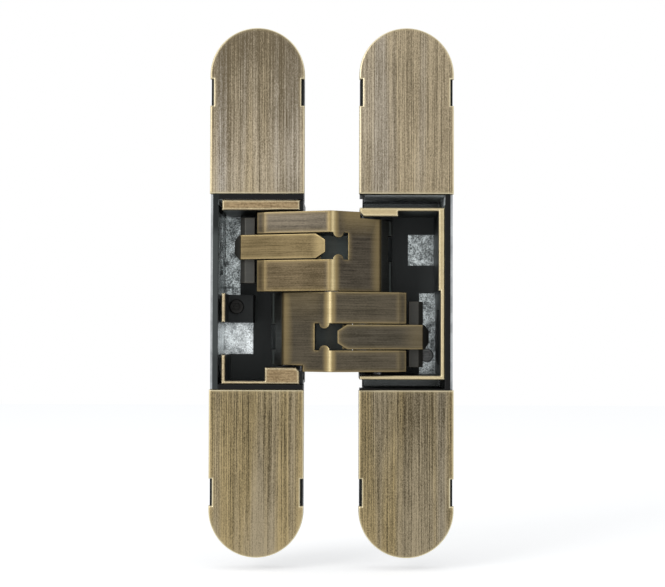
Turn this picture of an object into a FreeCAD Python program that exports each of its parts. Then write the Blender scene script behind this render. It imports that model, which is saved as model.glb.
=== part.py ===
import FreeCAD, Part
import Sketcher
import math
import os

# Concealed hinge, drawn open flat with its two leaves side by side.
# X runs across the leaves, Z along them, and the leaf faces look towards -Y.
# Depths are measured from the leaf face: a rise stands out of it, a deep value lies behind it.

doc = FreeCAD.newDocument("concealed_hinge")
sheet = doc.addObject("Spreadsheet::Sheet", "Sizes")


class Size:
    """A number together with the sheet expression that gives it."""

    def __init__(self, value, text):
        self.value = float(value)
        self.text = text

    def __add__(self, other):
        other = as_size(other)
        return Size(self.value + other.value, "(" + self.text + " + " + other.text + ")")

    def __sub__(self, other):
        other = as_size(other)
        return Size(self.value - other.value, "(" + self.text + " - " + other.text + ")")

    def __mul__(self, factor):
        return Size(self.value * factor, "(" + self.text + " * " + repr(float(factor)) + ")")

    def __neg__(self):
        return Size(-self.value, "(-" + self.text + ")")


def as_size(value):
    if isinstance(value, Size):
        return value
    return Size(value, "(" + repr(float(value)) + ")")


def size(alias, value, meaning):
    """Enters one driving size in the sheet and returns it."""
    row = str(size.row)
    size.row += 1
    sheet.set("A" + row, meaning)
    sheet.set("B" + row, str(value))
    sheet.setAlias("B" + row, alias)
    return Size(value, "Sizes." + alias)


size.row = 1

# Leaves and cover plates
leaf_width = size("leaf_width", 24.0, "width of one leaf")
leaf_half = size("leaf_half", 67.0, "half the length of a leaf")
leaf_gap = size("leaf_gap", 13.8, "gap between the two leaves when open")
cover_thick = size("cover_thick", 1.6, "thickness of a cover plate")
cover_start = size("cover_start", 24.8, "where a cover plate begins, from the middle")
cover_edge = size("cover_edge", 0.45, "rounding of the cover plate edge")
notch_start = size("notch_start", 47.2, "where the side notch of a cover begins")
notch_length = size("notch_length", 6.8, "length of the side notch of a cover")
notch_depth = size("notch_depth", 0.9, "depth of the side notch of a cover")
clip_radius = size("clip_radius", 1.5, "radius of the clip studs behind a cover")
clip_length = size("clip_length", 5.0, "length of the clip studs behind a cover")
clip_near = size("clip_near", 29.0, "place of the first clip stud, from the middle")
clip_far = size("clip_far", 47.0, "place of the second clip stud, from the middle")

# Bodies
body_inset = size("body_inset", 0.25, "how far a body lies inside the outline of its covers")
case_step = size("case_step", 0.9, "how far the deep box lies inside the body on the gap side")
end_depth = size("end_depth", 12.0, "depth of the screw flanges")
case_depth = size("case_depth", 26.0, "depth of the middle box of a body")
case_half = size("case_half", 30.0, "half length of the middle box of a body")
case_corner = size("case_corner", 3.0, "corner rounding of the middle box")
case_wall = size("case_wall", 2.2, "outer side wall of the middle box")
case_floor = size("case_floor", 1.8, "floor of the middle box")
swing_relief = size("swing_relief", 1.25, "depth of the recess for the link in the side wall")
swing_top = size("swing_top", 7.0, "upper end of that recess, behind the leaf face")
swing_deep = size("swing_deep", 16.5, "lower end of that recess, behind the leaf face")
swing_room = size("swing_room", 4.0, "room beside the link in that recess")
rim_drop = size("rim_drop", 0.3, "how far the body rim lies behind the leaf face")
rim_edge = size("rim_edge", 0.6, "bevel on the outer edge of the body rim")
screw_near = size("screw_near", 37.0, "place of the inner screw hole, from the middle")
screw_far = size("screw_far", 57.0, "place of the outer screw hole, from the middle")
screw_radius = size("screw_radius", 2.6, "radius of the screw holes")
sink_size = size("sink_size", 2.4, "width and depth of the screw hole countersink")
relief_depth = size("relief_depth", 7.0, "depth of the hollow behind a screw flange")
relief_wall = size("relief_wall", 2.2, "wall round the hollow behind a screw flange")
boss_radius = size("boss_radius", 5.2, "radius of the screw boss in that hollow")

# Cassettes
cassette_drop = size("cassette_drop", 0.6, "how far the cassette rim lies behind the leaf face")
cassette_floor = size("cassette_floor", 1.6, "floor of a cassette")
cassette_lip = size("cassette_lip", 1.6, "lip of a cassette on the gap side")
cassette_rim = size("cassette_rim", 0.25, "bevel on the cassette rim")
stop_wall = size("stop_wall", 0.8, "end wall of a cassette beside the stop block")
side_play = size("side_play", 0.9, "free space for the side setting of the left cassette")
slide_gap = size("slide_gap", 0.1, "running gap between a cassette and its body")
left_top = size("left_top", 23.3, "upper end of the left cassette")
left_bottom = size("left_bottom", 23.4, "lower end of the left cassette")
left_inner = size("left_inner", 7.2, "inner side of the left cassette")
left_nose = size("left_nose", 0.9, "set-back end strip of the left cassette, on the gap side")
nose_deep = size("nose_deep", 2.0, "front of that strip, behind the leaf face")
left_wall = size("left_wall", 0.9, "side wall of the left cassette")
left_bar = size("left_bar", 2.6, "upper end wall of the left cassette")
left_swing = size("left_swing", 3.3, "width of the opening for the swing of the left link")
left_window = size("left_window", 6.8, "width of the square floor window of the left cassette")
right_top = size("right_top", 21.35, "upper end of the right cassette")
right_bottom = size("right_bottom", 22.15, "lower end of the right cassette")
right_inner = size("right_inner", 7.1, "inner side of the right cassette")
right_wall = size("right_wall", 1.5, "side wall of the right cassette")
right_shell = size("right_shell", 1.0, "side wall of the right cassette beside its link")
right_bar = size("right_bar", 1.0, "lower end wall of the right cassette")
right_swing = size("right_swing", 5.4, "width of the opening for the swing of the right link")
right_window = size("right_window", 8.4, "width of the square floor window of the right cassette")
right_pocket = size("right_pocket", 24.5, "half length of the pocket of the right body")
mouth_deep = size("mouth_deep", 17.0, "depth of the opening that lets the arms through")
window_start = size("window_start", 7.7, "where the square floor window begins")
window_end = size("window_end", 16.0, "where the square floor window ends")
swing_low = size("swing_low", -0.4, "lower end of the opening for the link")
block_reach = size("block_reach", 16.8, "how far the stop block reaches from the middle")
block_face = size("block_face", 19.2, "inner face of the stop block")
block_deep = size("block_deep", 4.0, "underside of the stop block")
block_cut = size("block_cut", 0.9, "corner cut of the stop block")

# Screws that set and clamp the cassettes
step_reach = size("step_reach", 7.3, "width of the step that takes the clamp screw")
step_low = size("step_low", 7.6, "lower end of that step")
step_high = size("step_high", 0.5, "upper end of that step")
step_deep = size("step_deep", 12.4, "top of that step, behind the leaf face")
clamp_inset = size("clamp_inset", 6.1, "clamp screw, from the outer edge of the leaf")
clamp_z = size("clamp_z", 3.6, "clamp screw, along the leaf")
clamp_head = size("clamp_head", 1.9, "radius of the clamp screw head")
clamp_rise = size("clamp_rise", 0.8, "height of the clamp screw head")
adjust_inset = size("adjust_inset", 5.7, "adjusting screw, from the outer edge of the leaf")
adjust_z = size("adjust_z", 16.2, "adjusting screw, along the leaf")
adjust_head = size("adjust_head", 1.8, "radius of the adjusting screw head")
adjust_rise = size("adjust_rise", 2.0, "height of the adjusting screw head")
adjust_seat = size("adjust_seat", 1.2, "depth of the adjusting screw in the floor of its body")
screw_shank = size("screw_shank", 1.4, "radius of the screw shanks")
screw_edge = size("screw_edge", 0.3, "rounding of the screw heads")
socket_radius = size("socket_radius", 1.0, "radius across the corners of the screw sockets")
socket_deep = size("socket_deep", 0.7, "depth of the screw sockets")

# Pivots
arm_pivot_x = size("arm_pivot_x", 11.8, "arm pin, from the middle")
arm_pivot_deep = size("arm_pivot_deep", 12.5, "arm pin, behind the leaf face")
link_pivot_x = size("link_pivot_x", 12.0, "link pin, from the middle")
link_pivot_deep = size("link_pivot_deep", 17.0, "link pin, behind the leaf face")
fork_pivot_x = size("fork_pivot_x", 7.6, "fork pin, from the middle")
fork_pivot_deep = size("fork_pivot_deep", 4.5, "fork pin, behind the leaf face")
centre_rise = size("centre_rise", 1.1, "centre pin, in front of the leaf face")
arm_pin = size("arm_pin", 2.0, "radius of the arm pins")
link_pin = size("link_pin", 1.75, "radius of the link pins")
fork_pin = size("fork_pin", 2.2, "radius of the fork pins")
centre_pin = size("centre_pin", 2.2, "radius of the centre pin")
pin_fit = size("pin_fit", 0.02, "gap round a pin that is held")
pin_run = size("pin_run", 0.05, "gap round a pin that turns")
pin_loose = size("pin_loose", 0.26, "gap round the fork pin in its link")
pin_sink = size("pin_sink", 0.3, "how far a pin end lies inside the piece that holds it")
pin_edge = size("pin_edge", 0.3, "bevel on the pin ends")

# Arms
ridge_rise = size("ridge_rise", 5.1, "ridge of an arm, in front of the leaf face")
seam_half = size("seam_half", 0.1, "half the gap between the two arms")
arm_top = size("arm_top", 20.2, "outer side of an arm, from the middle")
slot_low = size("slot_low", 8.0, "inner side of the fork slot")
slot_high = size("slot_high", 14.8, "outer side of the fork slot")
slot_end = size("slot_end", 4.2, "closed end of the fork slot, past the middle")
bevel_x = size("bevel_x", 17.1, "start of the tine bevel")
bevel_deep = size("bevel_deep", 1.11, "depth of the start of the tine bevel")
tip_x = size("tip_x", 19.0, "tip of a tine")
tip_deep = size("tip_deep", 2.3, "depth of the tip of a tine")
heel_x = size("heel_x", 17.8, "heel of a tine")
heel_deep = size("heel_deep", 4.0, "depth of the heel of a tine")
belly_x = size("belly_x", 15.8, "belly of a tine")
belly_deep = size("belly_deep", 6.2, "depth of the belly of a tine")
fork_boss = size("fork_boss", 4.0, "radius round the fork pin hole")
crotch_x = size("crotch_x", 1.0, "corner between fork and leg, across")
crotch_deep = size("crotch_deep", 10.4, "corner between fork and leg, depth")
web_start = size("web_start", 5.3, "start of the web that closes the slot behind")
web_deep = size("web_deep", 8.4, "floor of the slot over that web")
ridge_round = size("ridge_round", 1.6, "rounding of the ridge of an arm")
crotch_round = size("crotch_round", 3.0, "rounding between fork and leg")
bend_x = size("bend_x", 12.6, "bend of the leg, from the middle")
bend_deep = size("bend_deep", 3.4, "depth of the bend of the leg")
bend_round = size("bend_round", 2.2, "rounding of the bend of the leg")
knuckle = size("knuckle", 3.9, "radius round the arm pin hole")
knuckle_room = size("knuckle_room", 0.6, "room round a knuckle")
flank_x = size("flank_x", 2.9, "where the flank of the leg meets the knuckle, across")
flank_deep = size("flank_deep", 2.6, "where the flank of the leg meets the knuckle, depth")
lug_trim = size("lug_trim", 1.6, "how far the arm pin lug is cut back on the gap side")
block_swing = size("block_swing", 13.5, "radius of the step that passes the stop block")
step_height = size("step_height", 18.6, "height of the leg beside the stop block")
bump_x = size("bump_x", 1.75, "place of the slot bumps, past the middle")
bump_radius = size("bump_radius", 1.3, "radius of the slot bumps")
bump_deep = size("bump_deep", 1.0, "lower end of the slot bumps, in front of the face")

# Links
link_low = size("link_low", 8.3, "inner side of a link")
link_high = size("link_high", 14.5, "outer side of a link")
tongue_tip_x = size("tongue_tip_x", 1.6, "tip of the tongue, from the middle")
tongue_tip_rise = size("tongue_tip_rise", 4.5, "top of the tongue tip")
tongue_under = size("tongue_under", 1.3, "underside of the tongue tip")
tongue_end_x = size("tongue_end_x", 23.2, "outer end of the tongue")
tongue_end_deep = size("tongue_end_deep", 3.35, "depth of the outer end of the tongue")
cap_x = size("cap_x", 24.9, "rounded cap of the tongue, from the middle")
cap_deep = size("cap_deep", 6.2, "top of that cap, behind the leaf face")
cap_low = size("cap_low", 7.6, "underside of that cap")
cap_end = size("cap_end", 8.8, "where that cap runs out into the cross head")
cap_cut = size("cap_cut", 1.2, "length of the corner cuts of that cap")
cap_side = size("cap_side", 1.5, "side width of the corner cuts of that cap")
tip_side = size("tip_side", 1.55, "side width of the tongue tip chamfer")
tip_long = size("tip_long", 2.4, "length of the tongue tip chamfer")
head_low = size("head_low", 2.3, "lower end of the cross head")
head_high = size("head_high", 19.1, "upper end of the cross head")
head_outer = size("head_outer", 23.4, "outer side of the cross head")
head_inner = size("head_inner", 19.7, "inner side of the cross head")
head_top = size("head_top", 5.0, "top of the cross head, behind the leaf face")
head_deep = size("head_deep", 10.5, "underside of the cross head")
head_round = size("head_round", 1.2, "rounding of the cross head")
link_boss = size("link_boss", 3.6, "radius round the link pin hole")
link_neck = size("link_neck", 3.4, "radius round the fork pin hole of a link")
lug_radius = size("lug_radius", 2.75, "radius of the link pin lugs")
lug_thick = size("lug_thick", 4.0, "thickness of the link pin lugs")
lug_gap = size("lug_gap", 0.3, "gap beside a lug")

# The front of the arms and the back of the bodies lie equally far from the origin
face_y = (ridge_rise - case_depth) * 0.5
inner_edge = leaf_gap * 0.5
outer_edge = inner_edge + leaf_width
middle_line = inner_edge + leaf_width * 0.5
end_radius = leaf_width * 0.5
end_centre = leaf_half - end_radius
clamp_x = outer_edge - clamp_inset
adjust_x = outer_edge - adjust_inset
zero = as_size(0.0)
# Open cuts run this far past the surface
spare = as_size(1.0)


def bind(target, path, value):
    target.setExpression(path, as_size(value).text)


def new_body(label, turned=False):
    """A body at the leaf face; a turned one is swung half a turn about the line of sight."""
    body = doc.addObject("PartDesign::Body", label)
    body.Label = label
    angle = 180.0 if turned else 0.0
    turn = FreeCAD.Rotation(FreeCAD.Vector(0, 1, 0), angle)
    body.Placement = FreeCAD.Placement(FreeCAD.Vector(0, face_y.value, 0), turn)
    bind(body, "Placement.Base.y", face_y)
    return body


def origin_plane(body, role):
    for feature in body.Origin.OriginFeatures:
        if feature.Role == role:
            return feature
    raise RuntimeError("no plane " + role)


def new_sketch(body, view, height):
    """An empty sketch: plan looks along the pins, front looks at the leaf face."""
    sketch = body.newObject("Sketcher::SketchObject", body.Name + "_sketch")
    role = "XY_Plane" if view == "plan" else "XZ_Plane"
    sketch.AttachmentSupport = [(origin_plane(body, role), "")]
    sketch.MapMode = "FlatFace"
    bind(sketch, "AttachmentOffset.Base.z", height)
    return sketch


def fix_point(sketch, geometry, corner, across, along):
    """Ties one point of a sketch to sizes from the origin."""
    for kind, value in (("DistanceX", across), ("DistanceY", along)):
        if value.value < 0.0:
            index = sketch.addConstraint(
                Sketcher.Constraint(kind, geometry, corner, -1, 1, -value.value))
            bind(sketch, "Constraints[" + str(index) + "]", -value)
        else:
            index = sketch.addConstraint(
                Sketcher.Constraint(kind, -1, 1, geometry, corner, value.value))
            bind(sketch, "Constraints[" + str(index) + "]", value)


def in_view(view, across, other):
    """Plan points are given as across and rise, front points as across and along."""
    across = as_size(across)
    other = as_size(other)
    return (across, -other) if view == "plan" else (across, other)


def draw_outline(sketch, view, corners):
    points = [in_view(view, across, other) for across, other in corners]
    count = len(points)
    for index in range(count):
        start = points[index]
        finish = points[(index + 1) % count]
        sketch.addGeometry(Part.LineSegment(
            FreeCAD.Vector(start[0].value, start[1].value, 0),
            FreeCAD.Vector(finish[0].value, finish[1].value, 0)), False)
    for index in range(count):
        sketch.addConstraint(Sketcher.Constraint("Coincident", index, 2, (index + 1) % count, 1))
    for index in range(count):
        fix_point(sketch, index, 1, points[index][0], points[index][1])


def draw_circle(sketch, view, across, other, radius):
    point = in_view(view, across, other)
    radius = as_size(radius)
    sketch.addGeometry(Part.Circle(
        FreeCAD.Vector(point[0].value, point[1].value, 0),
        FreeCAD.Vector(0, 0, 1), radius.value), False)
    fix_point(sketch, 0, 3, point[0], point[1])
    index = sketch.addConstraint(Sketcher.Constraint("Radius", 0, radius.value))
    bind(sketch, "Constraints[" + str(index) + "]", radius)


def finish_feature(body, sketch, low, high, cut):
    kind = "PartDesign::Pocket" if cut else "PartDesign::Pad"
    feature = body.newObject(kind, body.Name + ("_cut" if cut else "_solid"))
    feature.Profile = sketch
    length = as_size(high) - as_size(low)
    feature.Length = length.value
    bind(feature, "Length", length)
    sketch.Visibility = False
    doc.recompute()
    return feature


def prism(body, view, corners, low, high, cut=False):
    """Adds or removes the outline between two heights."""
    sketch = new_sketch(body, view, high if cut else low)
    draw_outline(sketch, view, corners)
    return finish_feature(body, sketch, low, high, cut)


def disc(body, view, across, other, radius, low, high, cut=False):
    """Adds or removes a round column between two heights."""
    sketch = new_sketch(body, view, high if cut else low)
    draw_circle(sketch, view, across, other, radius)
    return finish_feature(body, sketch, low, high, cut)


def block(body, left, right, bottom, top, back, front, cut=False):
    """Adds or removes a box, given in the front view with its two depths."""
    corners = [(left, bottom), (right, bottom), (right, top), (left, top)]
    return prism(body, "front", corners, back, front, cut)


def dress(body, kind, amount, wanted):
    """Rounds or bevels the edges of the body that pass the test."""
    base = body.Tip
    names = []
    for index, edge in enumerate(base.Shape.Edges):
        if wanted(edge):
            names.append("Edge" + str(index + 1))
    if not names:
        raise RuntimeError("no edge to dress on " + body.Label)
    feature = body.newObject("PartDesign::" + kind, body.Name + "_" + kind.lower())
    feature.Base = (base, names)
    path = "Radius" if kind == "Fillet" else "Size"
    setattr(feature, path, as_size(amount).value)
    bind(feature, path, amount)
    doc.recompute()
    return feature


def near(first, second):
    return abs(first - second) < 0.001


def along_pins(edge, across, deep):
    """True for a straight edge that runs along the pins at one place."""
    box = edge.BoundBox
    return (box.XLength < 0.001 and box.YLength < 0.001
            and near(box.XMin, across.value) and near(box.YMin, deep.value))


def in_front_plane(edge, rise):
    box = edge.BoundBox
    return near(box.YMin, -rise.value) and near(box.YMax, -rise.value)


def make_body(label, turned, pocket_low, pocket_high, adjusted):
    """The shell of a leaf; an adjusted one has a seat for the adjusting screw in its floor."""
    body = new_body(label, turned)
    back = -end_depth
    top = -cover_thick
    floor = -case_depth + case_floor
    outer = outer_edge - body_inset
    inner = inner_edge + body_inset
    radius = end_radius - body_inset
    wall_face = -outer_edge + case_wall
    block(body, -outer, -inner, -end_centre, end_centre, back, top)
    disc(body, "front", -middle_line, end_centre, radius, back, top)
    disc(body, "front", -middle_line, -end_centre, radius, back, top)
    for sign in (1.0, -1.0):
        near_end = (case_half + relief_wall) * sign
        far_end = end_centre * sign
        low, high = (near_end, far_end) if sign > 0 else (far_end, near_end)
        block(body, -outer + relief_wall, -inner - relief_wall,
              low, high, back, back + relief_depth, True)
        disc(body, "front", -middle_line, far_end, radius - relief_wall,
             back, back + relief_depth, True)
        for place in (screw_near, screw_far):
            disc(body, "front", -middle_line, place * sign, boss_radius, back, top)
    block(body, -outer, -inner - case_step, -case_half, case_half, -case_depth, top)
    dress(body, "Fillet", case_corner, lambda edge: edge.BoundBox.YMin > end_depth.value - 0.001
          and edge.BoundBox.XLength < 0.001 and edge.BoundBox.ZLength < 0.001)
    block(body, -outer, -inner, -cover_start + slide_gap, cover_start - slide_gap,
          top, -rim_drop)
    dress(body, "Chamfer", rim_edge, lambda edge: in_front_plane(edge, -rim_drop)
          and near(edge.BoundBox.XMin, -outer.value)
          and near(edge.BoundBox.XMax, -outer.value))
    block(body, wall_face, -inner, pocket_low, pocket_high, floor, -rim_drop, True)
    block(body, wall_face - swing_relief, wall_face,
          link_low - swing_room, link_high + swing_room, -swing_deep, -swing_top, True)
    if adjusted:
        disc(body, "front", -adjust_x, adjust_z, screw_shank + pin_fit,
             floor - adjust_seat, floor, True)
    for sign in (1.0, -1.0):
        for place in (screw_near, screw_far):
            disc(body, "front", -middle_line, place * sign, screw_radius, back, top, True)
        for place in (clip_near, clip_far):
            disc(body, "front", -middle_line, place * sign, clip_radius + pin_run,
                 top - clip_length - slide_gap, top, True)
    dress(body, "Chamfer", sink_size, lambda edge: in_front_plane(edge, top)
          and near(edge.BoundBox.XLength, 2.0 * screw_radius.value))
    return body


def make_cover(label, turned, sign):
    body = new_body(label, turned)
    inner = cover_start * sign
    middle = end_centre * sign
    low, high = (inner, middle) if sign > 0 else (middle, inner)
    block(body, -outer_edge, -inner_edge, low, high, -cover_thick, zero)
    disc(body, "front", -middle_line, middle, end_radius, -cover_thick, zero)
    first = notch_start * sign
    last = (notch_start + notch_length) * sign
    low, high = (first, last) if sign > 0 else (last, first)
    block(body, -outer_edge - spare, -outer_edge + notch_depth, low, high, -cover_thick, zero, True)
    block(body, -inner_edge - notch_depth, -inner_edge + spare, low, high, -cover_thick, zero, True)
    dress(body, "Fillet", cover_edge, lambda edge: in_front_plane(edge, zero))
    for place in (clip_near, clip_far):
        disc(body, "front", -middle_line, place * sign, clip_radius,
             -cover_thick - clip_length, -cover_thick)
    return body


def hollow_cassette(label, turned, outer, inner, low, high, wall, high_wall):
    """A tray with a mouth for the arms and a slot for the link; low and high are its two ends."""
    body = new_body(label, turned)
    bottom = -low + stop_wall
    top = high - high_wall
    block(body, -outer, -inner, -low, high, cassette_back, cassette_front)
    block(body, -outer + wall, -inner, bottom, top, -mouth_deep, cassette_front, True)
    block(body, -outer + wall, -inner - cassette_lip, bottom, top, inside_back, -mouth_deep, True)
    block(body, -inner - cassette_lip, -inner, link_low - lug_gap, link_high + lug_gap,
          inside_back, cassette_front, True)
    return body


def fit_cassette(body, inner, low, high, nose):
    """Adds what both cassettes share: pin lugs, pin holes and the stop block, which ends at the nose."""
    bottom = -low + stop_wall
    block_end = inner + nose
    # lugs of the link pin, on both sides of the link
    for start in (link_low - lug_gap - lug_thick, link_high + lug_gap):
        prism(body, "plan", [(-link_pivot_x - lug_radius, inside_back),
                             (-link_pivot_x + lug_radius, inside_back),
                             (-link_pivot_x + lug_radius, -link_pivot_deep),
                             (-link_pivot_x - lug_radius, -link_pivot_deep)],
              start, start + lug_thick)
        disc(body, "plan", -link_pivot_x, -link_pivot_deep, lug_radius, start, start + lug_thick)
    # lug of the arm pin, in the slot between its two knuckles, and a boss on the wall
    prism(body, "plan", [(-arm_pivot_x - knuckle, inside_back),
                         (-arm_pivot_x + knuckle - lug_trim, inside_back),
                         (-arm_pivot_x + knuckle - lug_trim, -arm_pivot_deep),
                         (-arm_pivot_x - knuckle, -arm_pivot_deep)],
          -slot_high + lug_gap, -slot_low - lug_gap)
    disc(body, "plan", -arm_pivot_x, -arm_pivot_deep, knuckle,
         -slot_high + lug_gap, -slot_low - lug_gap)
    disc(body, "plan", -arm_pivot_x, -arm_pivot_deep, knuckle, bottom, -step_height - lug_gap)
    # stop block beside the leg of the arm
    prism(body, "front", [(-block_reach, bottom), (-block_end, bottom),
                          (-block_end, -block_face - block_cut),
                          (-block_end - block_cut, -block_face), (-block_reach, -block_face)],
          -block_deep, cassette_front)
    disc(body, "plan", -arm_pivot_x, -arm_pivot_deep, arm_pin + pin_fit, -low, zero, True)
    disc(body, "plan", -link_pivot_x, -link_pivot_deep, link_pin + pin_fit, zero, high, True)


def bevel_rim(body):
    dress(body, "Chamfer", cassette_rim, lambda edge: in_front_plane(edge, cassette_front))


def make_left_cassette():
    """Its side wall is open beside the link and the window; a step takes the clamp screw."""
    body = hollow_cassette("left_cassette", False, left_outer, left_inner,
                           left_bottom, left_top, left_wall, left_bar)
    top = left_top - left_bar
    block(body, -left_outer, -left_outer + left_swing, swing_low, top,
          cassette_back, cassette_front, True)
    block(body, -left_outer, -left_outer + left_window, -window_end, -window_start,
          cassette_back, cassette_front, True)
    block(body, -left_outer, -left_outer + step_reach, -step_low, -step_high,
          cassette_back, -step_deep)
    disc(body, "front", -clamp_x, -clamp_z, screw_shank + pin_fit, cassette_back, -step_deep, True)
    fit_cassette(body, left_inner, left_bottom, left_top, left_nose)
    # end strip on the gap side, set back behind the brass rim
    strip = -left_inner - left_nose
    block(body, strip, -left_inner, -left_bottom + stop_wall, -block_face - block_cut,
          -block_deep, -nose_deep)
    block(body, strip, -left_inner, -left_bottom, -left_bottom + stop_wall,
          -nose_deep, cassette_front, True)
    block(body, strip, -left_inner, top, left_top, -nose_deep, cassette_front, True)
    bevel_rim(body)
    return body


def make_right_cassette():
    """Its side wall runs on beside the link, with a slot where the link swings through."""
    body = hollow_cassette("right_cassette", True, right_outer, right_inner,
                           right_top, right_bottom, right_wall, right_bar)
    top = right_bottom - right_bar
    block(body, -right_outer + right_shell, -right_outer + right_swing, swing_low, top,
          cassette_back, cassette_front, True)
    block(body, -right_outer, -right_outer + right_shell, link_low - swing_room,
          link_high + swing_room, -swing_deep, -swing_top, True)
    block(body, -right_outer + right_wall, -right_outer + right_window, -window_end, -window_start,
          cassette_back, inside_back, True)
    fit_cassette(body, right_inner, right_top, right_bottom, zero)
    bevel_rim(body)
    return body


def slot_outline():
    """The closed end of the fork slot, with a round bump on each side."""
    lower = [(-web_start, slot_low)]
    upper = [(-web_start, slot_high)]
    for step in range(9):
        turn = math.radians(180.0 - 22.5 * step)
        across = bump_x + bump_radius * round(math.cos(turn), 6)
        rise = bump_radius * round(math.sin(turn), 6)
        lower.append((across, slot_low + rise))
        upper.append((across, slot_high - rise))
    lower.append((slot_end, slot_low))
    upper.append((slot_end, slot_high))
    upper.reverse()
    return lower + upper


def make_arm(label, turned):
    body = new_body(label, turned)
    prism(body, "plan", [(zero, ridge_rise), (-bevel_x, -bevel_deep), (-tip_x, -tip_deep),
                         (-heel_x, -heel_deep), (-belly_x, -belly_deep),
                         (-fork_pivot_x, -fork_pivot_deep - fork_boss),
                         (crotch_x, -crotch_deep),
                         (arm_pivot_x - flank_x, -arm_pivot_deep - flank_deep),
                         (arm_pivot_x + knuckle, -arm_pivot_deep), (bend_x, -bend_deep)],
          seam_half, arm_top)
    disc(body, "plan", arm_pivot_x, -arm_pivot_deep, knuckle, seam_half, arm_top)
    dress(body, "Fillet", bend_round, lambda edge: along_pins(edge, bend_x, bend_deep))
    dress(body, "Fillet", crotch_round, lambda edge: along_pins(edge, crotch_x, crotch_deep))
    dress(body, "Fillet", ridge_round, lambda edge: along_pins(edge, zero, -ridge_rise))
    # fork slot, closed behind by a web near the ridge, with a bump on each side at the front
    block(body, -tip_x - spare, -web_start, slot_low, slot_high, -arm_pivot_deep, ridge_rise, True)
    block(body, -web_start, slot_end, slot_low, slot_high, -web_deep, bump_deep, True)
    prism(body, "front", slot_outline(), bump_deep, ridge_rise, True)
    # the leg lets the lug of the cassette in and steps back beside the stop block
    disc(body, "plan", arm_pivot_x, -arm_pivot_deep, knuckle + knuckle_room,
         slot_low, slot_high, True)
    disc(body, "plan", arm_pivot_x, -arm_pivot_deep, block_swing, step_height, arm_top, True)
    disc(body, "plan", zero, centre_rise, centre_pin + pin_run, seam_half, slot_low, True)
    disc(body, "plan", arm_pivot_x, -arm_pivot_deep, arm_pin + pin_run, seam_half, arm_top, True)
    disc(body, "plan", -fork_pivot_x, -fork_pivot_deep, fork_pin + pin_fit,
         seam_half, arm_top, True)
    return body


def make_link(label, turned):
    body = new_body(label, turned)
    prism(body, "plan", [(-tongue_tip_x, tongue_tip_rise), (-tongue_end_x, -tongue_end_deep),
                         (-cap_x, -cap_deep), (-cap_x, -cap_low),
                         (-head_outer, -cap_end), (-head_outer, -head_deep),
                         (-head_inner, -head_deep), (-link_pivot_x - link_boss, -link_pivot_deep),
                         (-link_pivot_x + link_boss, -link_pivot_deep),
                         (-fork_pivot_x + link_neck, -fork_pivot_deep),
                         (-tongue_tip_x, tongue_under)],
          link_low, link_high)
    disc(body, "plan", -link_pivot_x, -link_pivot_deep, link_boss, link_low, link_high)
    # cross head behind the tine ends
    prism(body, "plan", [(-head_outer, -head_top - head_round), (-head_outer, -head_deep),
                         (-head_inner, -head_deep), (-head_inner, -head_top),
                         (-head_outer + head_round, -head_top)],
          head_low, head_high)
    dress(body, "Fillet", head_round, lambda edge: along_pins(edge, -head_outer, head_deep))
    # the tip narrows so that it passes between the bumps in the slot
    for first, second in ((link_low, tip_side), (link_high, -tip_side)):
        prism(body, "front", [(-tongue_tip_x - tip_long, first), (-tongue_tip_x, first),
                              (-tongue_tip_x, first + second)],
              -tongue_under, tongue_tip_rise + spare, True)
    for first, second in ((link_low, cap_side), (link_high, -cap_side)):
        prism(body, "front", [(-cap_x, first), (-cap_x + cap_cut, first),
                              (-cap_x, first + second)],
              -cap_end, -tongue_end_deep, True)
    disc(body, "plan", -link_pivot_x, -link_pivot_deep, link_pin + pin_run,
         link_low, link_high, True)
    disc(body, "plan", -fork_pivot_x, -fork_pivot_deep, fork_pin + pin_loose,
         link_low, link_high, True)
    return body


def make_pin(label, turned, across, rise, radius, low, high):
    body = new_body(label, turned)
    disc(body, "plan", across, rise, radius, low, high)
    dress(body, "Chamfer", pin_edge, lambda edge: near(edge.BoundBox.ZLength, 0.0))
    return body


def make_screw(label, turned, across, along, foot, seat, head, rise):
    """A screw with a six-sided socket; its head rises from the seat, its shank ends at the foot."""
    body = new_body(label, turned)
    top = seat + rise
    disc(body, "front", across, along, screw_shank, foot, seat)
    disc(body, "front", across, along, head, seat, top)
    dress(body, "Fillet", screw_edge, lambda edge: in_front_plane(edge, top))
    half = socket_radius * 0.5
    slope = socket_radius * 0.866
    prism(body, "front", [(across + socket_radius, along), (across + half, along + slope),
                          (across - half, along + slope), (across - socket_radius, along),
                          (across - half, along - slope), (across + half, along - slope)],
          top - socket_deep, top, True)
    return body


left_outer = outer_edge - case_wall - side_play
right_outer = outer_edge - case_wall - slide_gap
cassette_back = -case_depth + case_floor
cassette_front = -cassette_drop
inside_back = cassette_back + cassette_floor
link_pin_start = link_low - lug_gap - lug_thick

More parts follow.
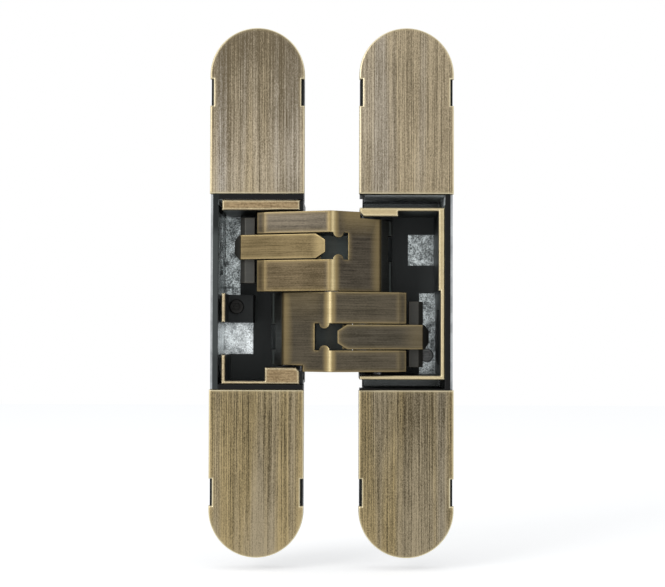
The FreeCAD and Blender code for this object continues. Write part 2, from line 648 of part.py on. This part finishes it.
nodes = [
    make_body("left_body", False, -left_bottom - slide_gap, left_top + slide_gap, False),
    make_body("right_body", True, -right_pocket, right_pocket, True),
    make_cover("upper_left_cover", False, 1.0),
    make_cover("lower_left_cover", False, -1.0),
    make_cover("lower_right_cover", True, 1.0),
    make_cover("upper_right_cover", True, -1.0),
    make_left_cassette(),
    make_right_cassette(),
    make_arm("upper_arm", False),
    make_arm("lower_arm", True),
    make_link("left_link", False),
    make_link("right_link", True),
    make_pin("left_arm_pin", False, -arm_pivot_x, -arm_pivot_deep, arm_pin,
             -left_bottom + pin_sink, -pin_sink),
    make_pin("right_arm_pin", True, -arm_pivot_x, -arm_pivot_deep, arm_pin,
             -right_top + pin_sink, -pin_sink),
    make_pin("left_link_pin", False, -link_pivot_x, -link_pivot_deep, link_pin,
             link_pin_start, left_top - pin_sink),
    make_pin("right_link_pin", True, -link_pivot_x, -link_pivot_deep, link_pin,
             link_pin_start, right_bottom - pin_sink),
    make_pin("centre_pin", False, zero, centre_rise, centre_pin,
             -slot_low + pin_sink, slot_low - pin_sink),
    make_pin("upper_fork_pin", False, -fork_pivot_x, -fork_pivot_deep, fork_pin,
             pin_sink, arm_top - pin_sink),
    make_pin("lower_fork_pin", True, -fork_pivot_x, -fork_pivot_deep, fork_pin,
             pin_sink, arm_top - pin_sink),
    make_screw("left_clamp_screw", False, -clamp_x, -clamp_z,
               cassette_back, -step_deep, clamp_head, clamp_rise),
    make_screw("right_adjust_screw", True, -adjust_x, adjust_z,
               cassette_back - adjust_seat, cassette_back, adjust_head, adjust_rise),
]

doc.recompute()
for item in doc.Objects:
    if "Invalid" in item.State or "Error" in item.State:
        raise RuntimeError(item.Label + " did not build")

os.makedirs("parts", exist_ok=True)
for node in nodes:
    if node.Shape.isNull() or not node.Shape.isValid() or len(node.Shape.Solids) != 1:
        raise RuntimeError(node.Label + " is not one sound solid")
    node.Shape.exportStep("parts/" + node.Label + ".step")
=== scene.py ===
import bpy
import math
from mathutils import Euler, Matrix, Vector


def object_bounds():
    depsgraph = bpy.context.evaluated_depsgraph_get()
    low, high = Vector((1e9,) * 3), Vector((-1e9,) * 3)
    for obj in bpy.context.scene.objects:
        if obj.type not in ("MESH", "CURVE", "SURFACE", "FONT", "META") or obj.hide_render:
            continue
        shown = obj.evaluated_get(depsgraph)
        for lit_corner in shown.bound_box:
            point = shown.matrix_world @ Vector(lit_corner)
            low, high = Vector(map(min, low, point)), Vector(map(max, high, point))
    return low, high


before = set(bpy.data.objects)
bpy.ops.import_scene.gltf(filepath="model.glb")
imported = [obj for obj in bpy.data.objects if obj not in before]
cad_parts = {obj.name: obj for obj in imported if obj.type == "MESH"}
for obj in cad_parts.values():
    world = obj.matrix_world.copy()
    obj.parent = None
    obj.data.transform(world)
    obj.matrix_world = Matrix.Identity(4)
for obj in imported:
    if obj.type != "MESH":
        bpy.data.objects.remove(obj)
cad_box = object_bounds()
scene = bpy.context.scene

FACE_Y = -0.01045  # plane of the cover plates in the row frame, metres

# camera fitted to the photograph; places in metres, angles in degrees
FRAME_WIDTH = 665.0  # pixels
FOCAL_LENGTH = 1584.5  # pixels
SENSOR_WIDTH = 36.0  # millimetres
CAMERA_X = 0.003
CAMERA_Z = -0.012
CAMERA_DISTANCE = 0.400  # in front of the cover plates
CAMERA_UP = 1.655
CAMERA_LEFT = 0.393
CAMERA_ROLL = 0.168

FLOOR_DROP = 0.0033  # floor below the part, a little more than the height adjustment goes down
FLOOR_SIZE = 2.0  # metres

# zones of the bodies, in metres from the middle of the hinge or from the plane of the cover plates
POCKET_INNER = 0.0084
POCKET_OUTER = 0.02995
POCKET_END = 0.0256
POCKET_FRONT = 0.0006
POCKET_DEEP = 0.0245
POCKET_FLOOR = 0.020
ZINC_INNER = 0.0175
ZINC_END = 0.0221
EVERYWHERE = 1.0  # beyond any place on the part


class Finish:
    """One node material, built step by step. Places are those of the piece at rest, in metres."""

    def __init__(self, name):
        self.material = bpy.data.materials.new(name)
        self.material.use_nodes = True
        self.tree = self.material.node_tree
        self.tree.nodes.clear()
        output = self.add("ShaderNodeOutputMaterial")
        self.shader = self.add("ShaderNodeBsdfPrincipled")
        self.wire(self.shader.outputs["BSDF"], output.inputs["Surface"])
        coordinates = self.add("ShaderNodeTexCoord")
        self.place = coordinates.outputs["Object"]
        self.x, self.y, self.z = self.split(self.place)
        self.depth = self.math("SUBTRACT", self.y, FACE_Y)
        self.facing = self.math("MULTIPLY", self.split(coordinates.outputs["Normal"])[1], -1.0)

    def add(self, kind, **settings):
        node = self.tree.nodes.new(kind)
        for key, value in settings.items():
            setattr(node, key, value)
        return node

    def wire(self, source, target):
        if isinstance(source, bpy.types.NodeSocket):
            self.tree.links.new(source, target)
        elif isinstance(source, tuple):
            target.default_value = (*source, 1.0)
        else:
            target.default_value = source

    def split(self, vector):
        node = self.add("ShaderNodeSeparateXYZ")
        self.wire(vector, node.inputs[0])
        return node.outputs[0], node.outputs[1], node.outputs[2]

    def noise(self, scale, detail, rough):
        """Noise with one scale for each direction, per metre."""
        mapping = self.add("ShaderNodeMapping")
        mapping.inputs["Scale"].default_value = scale
        self.wire(self.place, mapping.inputs["Vector"])
        node = self.add("ShaderNodeTexNoise")
        node.inputs["Scale"].default_value = 1.0
        node.inputs["Detail"].default_value = detail
        node.inputs["Roughness"].default_value = rough
        self.wire(mapping.outputs[0], node.inputs["Vector"])
        return node.outputs["Fac"]

    def math(self, operation, first, second=0.0):
        node = self.add("ShaderNodeMath", operation=operation)
        self.wire(first, node.inputs[0])
        self.wire(second, node.inputs[1])
        return node.outputs[0]

    def weighted(self, *shares):
        """Sum of values, each times its share."""
        total = None
        for value, share in shares:
            part = self.math("MULTIPLY", value, share)
            total = part if total is None else self.math("ADD", total, part)
        return total

    def span(self, value, low, high, to_low=0.0, to_high=1.0):
        """Maps low..high to to_low..to_high, held at both ends."""
        node = self.add("ShaderNodeMapRange")
        self.wire(value, node.inputs["Value"])
        node.inputs["From Min"].default_value = low
        node.inputs["From Max"].default_value = high
        node.inputs["To Min"].default_value = to_low
        node.inputs["To Max"].default_value = to_high
        return node.outputs["Result"]

    def band(self, value, centre, half, peak):
        """Rises softly to its peak at the centre and is 0 from half a width away."""
        node = self.add("ShaderNodeMapRange", interpolation_type="SMOOTHSTEP")
        away = self.math("ABSOLUTE", self.math("SUBTRACT", value, centre))
        self.wire(away, node.inputs["Value"])
        node.inputs["From Min"].default_value = 0.0
        node.inputs["From Max"].default_value = half
        node.inputs["To Min"].default_value = peak
        node.inputs["To Max"].default_value = 0.0
        return node.outputs["Result"]

    def within(self, value, low, high):
        """1 between low and high, 0 elsewhere."""
        above = self.math("GREATER_THAN", value, low)
        return self.math("MULTIPLY", above, self.math("LESS_THAN", value, high))

    def all_of(self, *masks):
        """1 where every mask is 1."""
        product = masks[0]
        for mask in masks[1:]:
            product = self.math("MULTIPLY", product, mask)
        return product

    def mix(self, factor, first, second):
        node = self.add("ShaderNodeMix", data_type="RGBA")
        self.wire(factor, node.inputs[0])
        self.wire(first, node.inputs[6])
        self.wire(second, node.inputs[7])
        return node.outputs[2]

    def bevel(self, radius):
        node = self.add("ShaderNodeBevel", samples=8)
        node.inputs["Radius"].default_value = radius
        return node.outputs[0]

    def edge(self, radius, low, high, peak):
        """Rises from 0 to its peak towards edges, where the bevel normal leaves the true normal."""
        geometry = self.add("ShaderNodeNewGeometry")
        product = self.add("ShaderNodeVectorMath", operation="DOT_PRODUCT")
        self.wire(self.bevel(radius), product.inputs[0])
        self.wire(geometry.outputs["Normal"], product.inputs[1])
        return self.span(product.outputs["Value"], 1.0 - low, 1.0 - high, 0.0, peak)

    def finish(self, colour, metallic, roughness, specular, height, strength, distance, rounding):
        self.wire(colour, self.shader.inputs["Base Color"])
        self.wire(metallic, self.shader.inputs["Metallic"])
        self.wire(roughness, self.shader.inputs["Roughness"])
        self.wire(specular, self.shader.inputs["Specular IOR Level"])
        bump = self.add("ShaderNodeBump")
        bump.inputs["Strength"].default_value = strength
        bump.inputs["Distance"].default_value = distance
        self.wire(height, bump.inputs["Height"])
        self.wire(self.bevel(rounding), bump.inputs["Normal"])
        self.wire(bump.outputs[0], self.shader.inputs["Normal"])
        return self.material


def cover_finish():
    """Antique brass brushed along the leaf, warmer on the lower covers, gold at the edges, painted
    highlight on their rounding.
    """
    build = Finish("cover_brass")
    hairs = build.noise((8600.0, 30.0, 2600.0), 3.0, 0.7)
    strokes = build.noise((7900.0, 30.0, 150.0), 1.0, 0.5)
    lines = build.noise((7200.0, 30.0, 16.0), 1.0, 0.5)
    drift = build.noise((260.0, 30.0, 9.0), 1.0, 0.5)
    cloud = build.noise((90.0, 90.0, 50.0), 2.0, 0.5)
    tone = build.weighted((hairs, 0.38), (lines, 0.30), (strokes, 0.16), (drift, 0.06), (cloud, 0.10))
    # the round end is dark on the upper left cover and light on the lower two
    right = build.span(build.x, -0.005, 0.005)
    top_change = build.span(right, 0.0, 1.0, -0.085, 0.002)
    top = build.math("MULTIPLY", build.span(build.z, 0.032, 0.062), top_change)
    tone = build.math("ADD", tone, top)
    tone = build.math("ADD", tone, build.span(build.z, -0.062, -0.032, 0.048, 0.0))
    lower_right = build.math("MULTIPLY", right, build.span(build.z, 0.005, -0.005))
    tone = build.math("ADD", tone, build.math("MULTIPLY", lower_right, -0.022))
    tone = build.span(tone, 0.425, 0.575)
    reach = build.math("MULTIPLY", build.x, build.math("SIGN", build.z))
    cool_streaks = build.span(drift, 0.42, 0.62, 0.0, 0.7)
    cool = build.math("MAXIMUM", cool_streaks, build.band(reach, -0.0278, 0.003, 1.0))
    upper_light = build.mix(cool, (0.468, 0.386, 0.255), (0.410, 0.372, 0.315))
    lower_light = build.mix(cool, (0.378, 0.294, 0.151), (0.318, 0.272, 0.194))
    upper = build.mix(tone, (0.105, 0.082, 0.049), upper_light)
    lower = build.mix(tone, (0.048, 0.036, 0.018), lower_light)
    colour = build.mix(build.span(build.z, -0.030, 0.030), lower, upper)
    colour = build.mix(build.edge(0.0016, 0.004, 0.25, 0.75), colour, (0.47, 0.385, 0.215))
    # painted highlight: a bright cream line where the rounded edge of the plate turns away from the front
    rounding = build.all_of(build.span(build.facing, 0.99, 0.80), build.span(build.facing, 0.05, 0.35),
                            build.span(drift, 0.3, 0.7, 0.8, 1.0))
    colour = build.mix(rounding, colour, (0.80, 0.71, 0.48))
    rough = build.span(hairs, 0.3, 0.7, 0.36, 0.46)
    return build.finish(colour, 0.85, rough, 0.4, hairs, 0.10, 0.00003, 0.0003)


def antique_brass(name, upper, lower, gold, bright, lacquer, bands, deep):
    """Dark brass brushed across the leaf, worn to gold at edges, painted highlights on bands, lacquered
    where it lies deep.

    Upper and lower are the dark and the light tone of the two pieces. A band has its place along the
    piece, below 0 on the fork side and above 0 on the leg side, half its width, and the strength of its
    painted highlight on the upper and on the lower piece.
    """
    build = Finish(name)
    hairs = build.noise((150.0, 120.0, 7800.0), 3.0, 0.65)
    grain = build.noise((3000.0, 120.0, 7000.0), 2.0, 0.6)
    drift = build.noise((28.0, 28.0, 2100.0), 2.0, 0.5)
    cloud = build.noise((130.0, 130.0, 130.0), 3.0, 0.5)
    tone = build.weighted((hairs, 0.38), (drift, 0.20), (cloud, 0.16), (grain, 0.26))
    streak = build.span(tone, 0.415, 0.585)
    below = build.math("LESS_THAN", build.z, 0.0)
    colour = build.mix(below, build.mix(streak, *upper), build.mix(streak, *lower))
    reach = build.math("MULTIPLY", build.x, build.math("SIGN", build.z))
    warm = build.all_of(build.within(build.z, 0.0, 0.0088), build.span(reach, 0.0, -0.002, 0.0, 0.8))
    colour = build.mix(warm, colour, build.mix(streak, (0.026, 0.018, 0.007), (0.090, 0.066, 0.034)))
    rub_and_painted_light = build.math("ADD", build.edge(0.0009, 0.01, 0.24, 0.45), build.edge(0.0026, 0.002, 0.22, 0.25))
    # painted highlights along the bands, where the ridge, the bends and the bevels catch the light
    for centre, half, upper_peak, lower_peak in bands:
        peak = build.span(below, 0.0, 1.0, upper_peak, lower_peak)
        rub_and_painted_light = build.math("MAXIMUM", rub_and_painted_light, build.math("MULTIPLY", build.band(reach, centre, half, 1.0), peak))
    # painted light: the upper side of the leg is painted lighter, as if lit from above
    painted_top_light = build.math("ADD", build.span(build.z, 0.0135, 0.0205, 0.0, 0.55),
                        build.all_of(build.span(build.z, -0.0085, -0.0005, 0.0, 0.16), below))
    rub_and_painted_light = build.math("MAXIMUM", rub_and_painted_light, build.math("MULTIPLY", painted_top_light, build.span(reach, 0.001, 0.004)))
    worn = build.span(tone, 0.36, 0.64, 0.72, 1.0)
    rub_and_painted_light = build.math("MULTIPLY", rub_and_painted_light, worn)
    colour = build.mix(build.span(rub_and_painted_light, 0.0, 0.6), colour, gold)
    colour = build.mix(build.span(rub_and_painted_light, 0.6, 1.0), colour, bright)
    # the lacquer is darker on the lower piece and in the streaks
    darker_lacquer = (0.010, 0.010, 0.009)
    open_face = build.span(build.facing, 0.30, 0.55)
    front = build.math("MULTIPLY", open_face, build.span(build.depth, deep, deep + 0.0006, 1.0, 0.0))
    black = build.mix(open_face, (0.030, 0.030, 0.028), lacquer)
    black = build.mix(build.span(below, 0.0, 1.0, 0.0, 0.42), black, darker_lacquer)
    black = build.mix(build.span(tone, 0.34, 0.66, 0.35, 0.0), black, darker_lacquer)
    black = build.mix(build.math("MULTIPLY", rub_and_painted_light, 0.12), black, gold)
    colour = build.mix(front, black, colour)
    rough = build.span(hairs, 0.3, 0.7, 0.32, 0.44)
    metallic = build.span(front, 0.0, 1.0, 0.4, 0.88)
    return build.finish(colour, metallic, rough, 0.25, hairs, 0.12, 0.00003, 0.0003)


def arm_finish():
    bands = [(0.0004, 0.0021, 1.0, 1.0), (0.0119, 0.0026, 0.46, 0.46), (-0.0171, 0.0012, 0.26, 0.16)]
    upper = ((0.030, 0.025, 0.018), (0.098, 0.082, 0.060))
    lower = ((0.037, 0.031, 0.021), (0.090, 0.075, 0.052))
    # painted light: the deep lacquer on the slot floor is painted light grey, standing in for light that
    # does not reach into the slot
    return antique_brass("arm_brass", upper, lower, (0.245, 0.184, 0.086), (0.52, 0.430, 0.240),
                         (0.168, 0.196, 0.186), bands, 0.0036)


def link_finish():
    bands = [(-0.0028, 0.0028, 0.30, 0.04), (-0.0225, 0.0060, 0.0, 0.14)]
    # painted light and shade: the upper link is painted lighter than the lower one, as the upper tongue
    # faces the key light
    upper = ((0.036, 0.026, 0.011), (0.112, 0.084, 0.042))
    lower = ((0.028, 0.024, 0.016), (0.075, 0.064, 0.047))
    return antique_brass("link_brass", upper, lower, (0.255, 0.195, 0.095), (0.44, 0.355, 0.19),
                         (0.068, 0.067, 0.060), bands, 0.0033)


def body_finish():
    """Black lacquered casting, bare zinc in the outer part of the pocket and along the outer edge."""
    build = Finish("body_zinc")
    grain = build.noise((2600.0, 2600.0, 2600.0), 3.0, 0.65)
    fleck = build.noise((900.0, 900.0, 900.0), 2.0, 0.5)
    cloud = build.noise((220.0, 220.0, 220.0), 3.0, 0.6)
    side = build.math("ABSOLUTE", build.x)
    along = build.math("ABSOLUTE", build.z)
    lacquer = build.mix(build.span(cloud, 0.3, 0.7), (0.007, 0.008, 0.008), (0.022, 0.024, 0.024))
    patch = build.noise((240.0, 240.0, 240.0), 2.0, 0.5)
    speckle = build.span(build.weighted((grain, 0.45), (fleck, 0.25), (patch, 0.30)), 0.41, 0.59)
    # painted light and shade: the zinc of the lower left corner is painted bright as if lit, the other
    # windows and strips darker as if shaded
    painted_shade_zinc = build.mix(speckle, (0.090, 0.100, 0.101), (0.76, 0.825, 0.83))
    painted_lit_zinc = build.mix(speckle, (0.22, 0.240, 0.246), (0.92, 0.97, 0.98))
    lit_corner = build.math("LESS_THAN", build.math("MAXIMUM", build.x, build.z), 0.0)
    zinc = build.mix(lit_corner, painted_shade_zinc, painted_lit_zinc)
    pocket = build.all_of(build.within(side, POCKET_INNER, POCKET_OUTER),
                          build.within(along, -EVERYWHERE, POCKET_END),
                          build.within(build.depth, POCKET_FRONT, POCKET_DEEP))
    floor = build.all_of(pocket, build.within(build.depth, POCKET_FLOOR, POCKET_DEEP))
    walls = build.all_of(pocket, build.within(side, ZINC_INNER, POCKET_OUTER),
                         build.within(along, -EVERYWHERE, ZINC_END))
    # painted light: the upper end walls of the pockets are painted pale, standing in for light that does
    # not reach under the covers
    ends = build.all_of(pocket, build.within(build.z, ZINC_END, POCKET_END))
    face = build.within(build.depth, -EVERYWHERE, POCKET_FRONT)
    # painted shade: the ledges at the pocket ends and the rim beside the right cassette are painted near
    # black, as shade between cassette and covers
    end_ledge = build.all_of(face, build.within(along, 0.0215, 0.0275), build.within(side, 0.0, 0.0285))
    right_rim = build.math("MULTIPLY", face, build.within(build.x, 0.0270, 0.0302))
    painted_shade_ledge = build.math("MAXIMUM", end_ledge, right_rim)
    left_rim = build.math("MULTIPLY", face, build.within(build.x, -0.0302, -0.0288))
    # the left rim is lighter in its middle, darker above it and a little darker below
    rim_dark = (0.012, 0.014, 0.014)
    rim = build.mix(build.span(build.z, 0.0140, 0.0165), (0.046, 0.052, 0.051), rim_dark)
    rim = build.mix(build.span(build.z, -0.0145, -0.0170, 0.0, 0.4), rim, rim_dark)
    outer = build.all_of(build.within(side, 0.03008, EVERYWHERE),
                         build.within(build.depth, -EVERYWHERE, 0.0009),
                         build.span(cloud, 0.3, 0.6, 0.55, 1.0))
    colour = build.mix(left_rim, lacquer, rim)
    colour = build.mix(painted_shade_ledge, colour, (0.005, 0.005, 0.005))
    colour = build.mix(ends, colour, (0.70, 0.74, 0.74))
    colour = build.mix(floor, colour, (0.120, 0.130, 0.130))
    colour = build.mix(walls, colour, zinc)
    colour = build.mix(outer, colour, (0.46, 0.48, 0.49))
    colour = build.mix(build.edge(0.0005, 0.05, 0.4, 0.05), colour, (0.5, 0.5, 0.5))
    bare = build.math("MAXIMUM", build.math("MAXIMUM", walls, outer), floor)
    rough = build.span(bare, 0.0, 1.0, 0.46, 0.27)
    return build.finish(colour, bare, rough, 0.12, grain, 0.2, 0.00006, 0.0003)


def cassette_finish():
    """Black lacquer with a bare brass rim at the front, satin in the middle and bright at its edges."""
    build = Finish("cassette_zinc")
    grain = build.noise((2400.0, 2400.0, 2400.0), 3.0, 0.6)
    hairs = build.noise((160.0, 160.0, 3800.0), 2.0, 0.6)
    cloud = build.noise((160.0, 160.0, 160.0), 2.0, 0.5)
    lacquer = build.mix(build.span(cloud, 0.3, 0.7), (0.013, 0.015, 0.015), (0.034, 0.037, 0.036))
    # painted light: the lacquer deep in the pocket is painted lighter, standing in for light that does not
    # reach there
    lacquer = build.mix(build.span(build.depth, 0.013, 0.018), lacquer, (0.060, 0.066, 0.065))
    tone = build.weighted((grain, 0.5), (hairs, 0.5))
    brass = build.mix(build.span(tone, 0.38, 0.62), (0.15, 0.102, 0.052), (0.36, 0.268, 0.150))
    edge_and_painted_sheen = build.edge(0.0009, 0.004, 0.20, 0.75)
    # painted sheen: the rim of the right cassette is painted brighter than that of the left one
    edge_and_painted_sheen = build.math("ADD", edge_and_painted_sheen, build.span(build.x, -0.005, 0.005, 0.0, 0.50))
    brass = build.mix(build.math("MINIMUM", edge_and_painted_sheen, 1.0), brass, (0.60, 0.505, 0.295))
    brass = build.mix(build.edge(0.0009, 0.01, 0.16, 0.85), brass, (0.84, 0.755, 0.52))
    front = build.math("LESS_THAN", build.depth, 0.00088)
    colour = build.mix(front, lacquer, brass)
    rough = build.span(grain, 0.3, 0.7, 0.36, 0.5)
    metallic = build.math("MULTIPLY", front, 0.85)
    return build.finish(colour, metallic, rough, 0.18, grain, 0.15, 0.00004, 0.0002)


def steel_finish(name, dark, light):
    build = Finish(name)
    turned = build.noise((400.0, 400.0, 5000.0), 2.0, 0.6)
    colour = build.mix(build.span(turned, 0.3, 0.7), dark, light)
    colour = build.mix(build.edge(0.0003, 0.05, 0.4, 0.4), colour, light)
    rough = build.span(turned, 0.3, 0.7, 0.30, 0.42)
    return build.finish(colour, 0.9, rough, 0.3, turned, 0.1, 0.00003, 0.0002)


finishes = {
    "cover": cover_finish(),
    "arm": arm_finish(),
    "link": link_finish(),
    "body": body_finish(),
    "cassette": cassette_finish(),
    "pin": steel_finish("pin_steel", (0.16, 0.16, 0.163), (0.30, 0.30, 0.305)),
    "clamp_screw": steel_finish("clamp_steel", (0.010, 0.010, 0.010), (0.030, 0.029, 0.027)),
    "adjust_screw": steel_finish("adjust_steel", (0.14, 0.143, 0.14), (0.30, 0.305, 0.30)),
}
for name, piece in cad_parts.items():
    piece.data.materials.clear()
    for ending, material in finishes.items():
        if name.endswith(ending):
            piece.data.materials.append(material)

# camera at the angle of the photograph
camera_data = bpy.data.cameras.new("camera")
camera = bpy.data.objects.new("camera", camera_data)
scene.collection.objects.link(camera)
scene.camera = camera
camera_data.sensor_width = SENSOR_WIDTH
camera_data.lens = SENSOR_WIDTH * FOCAL_LENGTH / FRAME_WIDTH
camera_data.clip_start = 0.01
camera.location = (CAMERA_X, FACE_Y - CAMERA_DISTANCE, CAMERA_Z)
camera.rotation_euler = Euler((math.radians(90.0 + CAMERA_UP), 0.0, math.radians(CAMERA_LEFT)), "XYZ")
camera.rotation_euler.rotate_axis("Z", math.radians(CAMERA_ROLL))


def soft_lamp(name, place, width, height, power):
    data = bpy.data.lights.new(name, "AREA")
    data.shape = "RECTANGLE"
    data.size = width
    data.size_y = height
    data.energy = power
    lamp = bpy.data.objects.new(name, data)
    scene.collection.objects.link(lamp)
    lamp.location = place
    lamp.rotation_euler = (-Vector(place)).to_track_quat("-Z", "Y").to_euler()


soft_lamp("key", (-0.60, -0.72, 0.32), 0.45, 0.45, 5.4)
soft_lamp("fill", (0.60, -0.75, 0.25), 0.5, 0.5, 1.2)


def background_share(tree):
    """1 for what the camera, metal and glass see, 0 for the light on the object."""
    path = tree.nodes.new("ShaderNodeLightPath")
    first = tree.nodes.new("ShaderNodeMath")
    first.operation = "MAXIMUM"
    tree.links.new(path.outputs["Is Camera Ray"], first.inputs[0])
    tree.links.new(path.outputs["Is Glossy Ray"], first.inputs[1])
    second = tree.nodes.new("ShaderNodeMath")
    second.operation = "MAXIMUM"
    tree.links.new(first.outputs[0], second.inputs[0])
    tree.links.new(path.outputs["Is Transmission Ray"], second.inputs[1])
    return second.outputs[0]


world = bpy.data.worlds.new("studio")
scene.world = world
world.use_nodes = True
tree = world.node_tree
tree.nodes.clear()
surround = tree.nodes.new("ShaderNodeBackground")
surround.inputs["Color"].default_value = (0.80, 0.82, 0.84, 1.0)
surround.inputs["Strength"].default_value = 0.8
white = tree.nodes.new("ShaderNodeBackground")
white.inputs["Color"].default_value = (1.0, 1.0, 1.0, 1.0)
white.inputs["Strength"].default_value = 1.0
choose = tree.nodes.new("ShaderNodeMixShader")
result = tree.nodes.new("ShaderNodeOutputWorld")
tree.links.new(background_share(tree), choose.inputs["Fac"])
tree.links.new(surround.outputs[0], choose.inputs[1])
tree.links.new(white.outputs[0], choose.inputs[2])
tree.links.new(choose.outputs[0], result.inputs["Surface"])

# pale floor just under the lowest height setting; it looks white and keeps a light shadow
bpy.ops.mesh.primitive_plane_add(size=FLOOR_SIZE, location=(0.0, 0.0, cad_box[0][2] - FLOOR_DROP))
floor = bpy.context.object
floor.name = "floor"
pale = bpy.data.materials.new("floor")
pale.use_nodes = True
tree = pale.node_tree
tree.nodes.clear()
chalk = tree.nodes.new("ShaderNodeBsdfDiffuse")
chalk.inputs["Color"].default_value = (0.8, 0.8, 0.8, 1.0)
shade = tree.nodes.new("ShaderNodeBsdfDiffuse")
shade.inputs["Color"].default_value = (0.6, 0.6, 0.6, 1.0)
glow = tree.nodes.new("ShaderNodeEmission")
glow.inputs["Strength"].default_value = 0.57
lit = tree.nodes.new("ShaderNodeAddShader")
choose = tree.nodes.new("ShaderNodeMixShader")
result = tree.nodes.new("ShaderNodeOutputMaterial")
tree.links.new(shade.outputs[0], lit.inputs[0])
tree.links.new(glow.outputs[0], lit.inputs[1])
tree.links.new(background_share(tree), choose.inputs["Fac"])
tree.links.new(chalk.outputs[0], choose.inputs[1])
tree.links.new(lit.outputs[0], choose.inputs[2])
tree.links.new(choose.outputs[0], result.inputs["Surface"])
floor.data.materials.append(pale)

scene.view_settings.view_transform = "Standard"
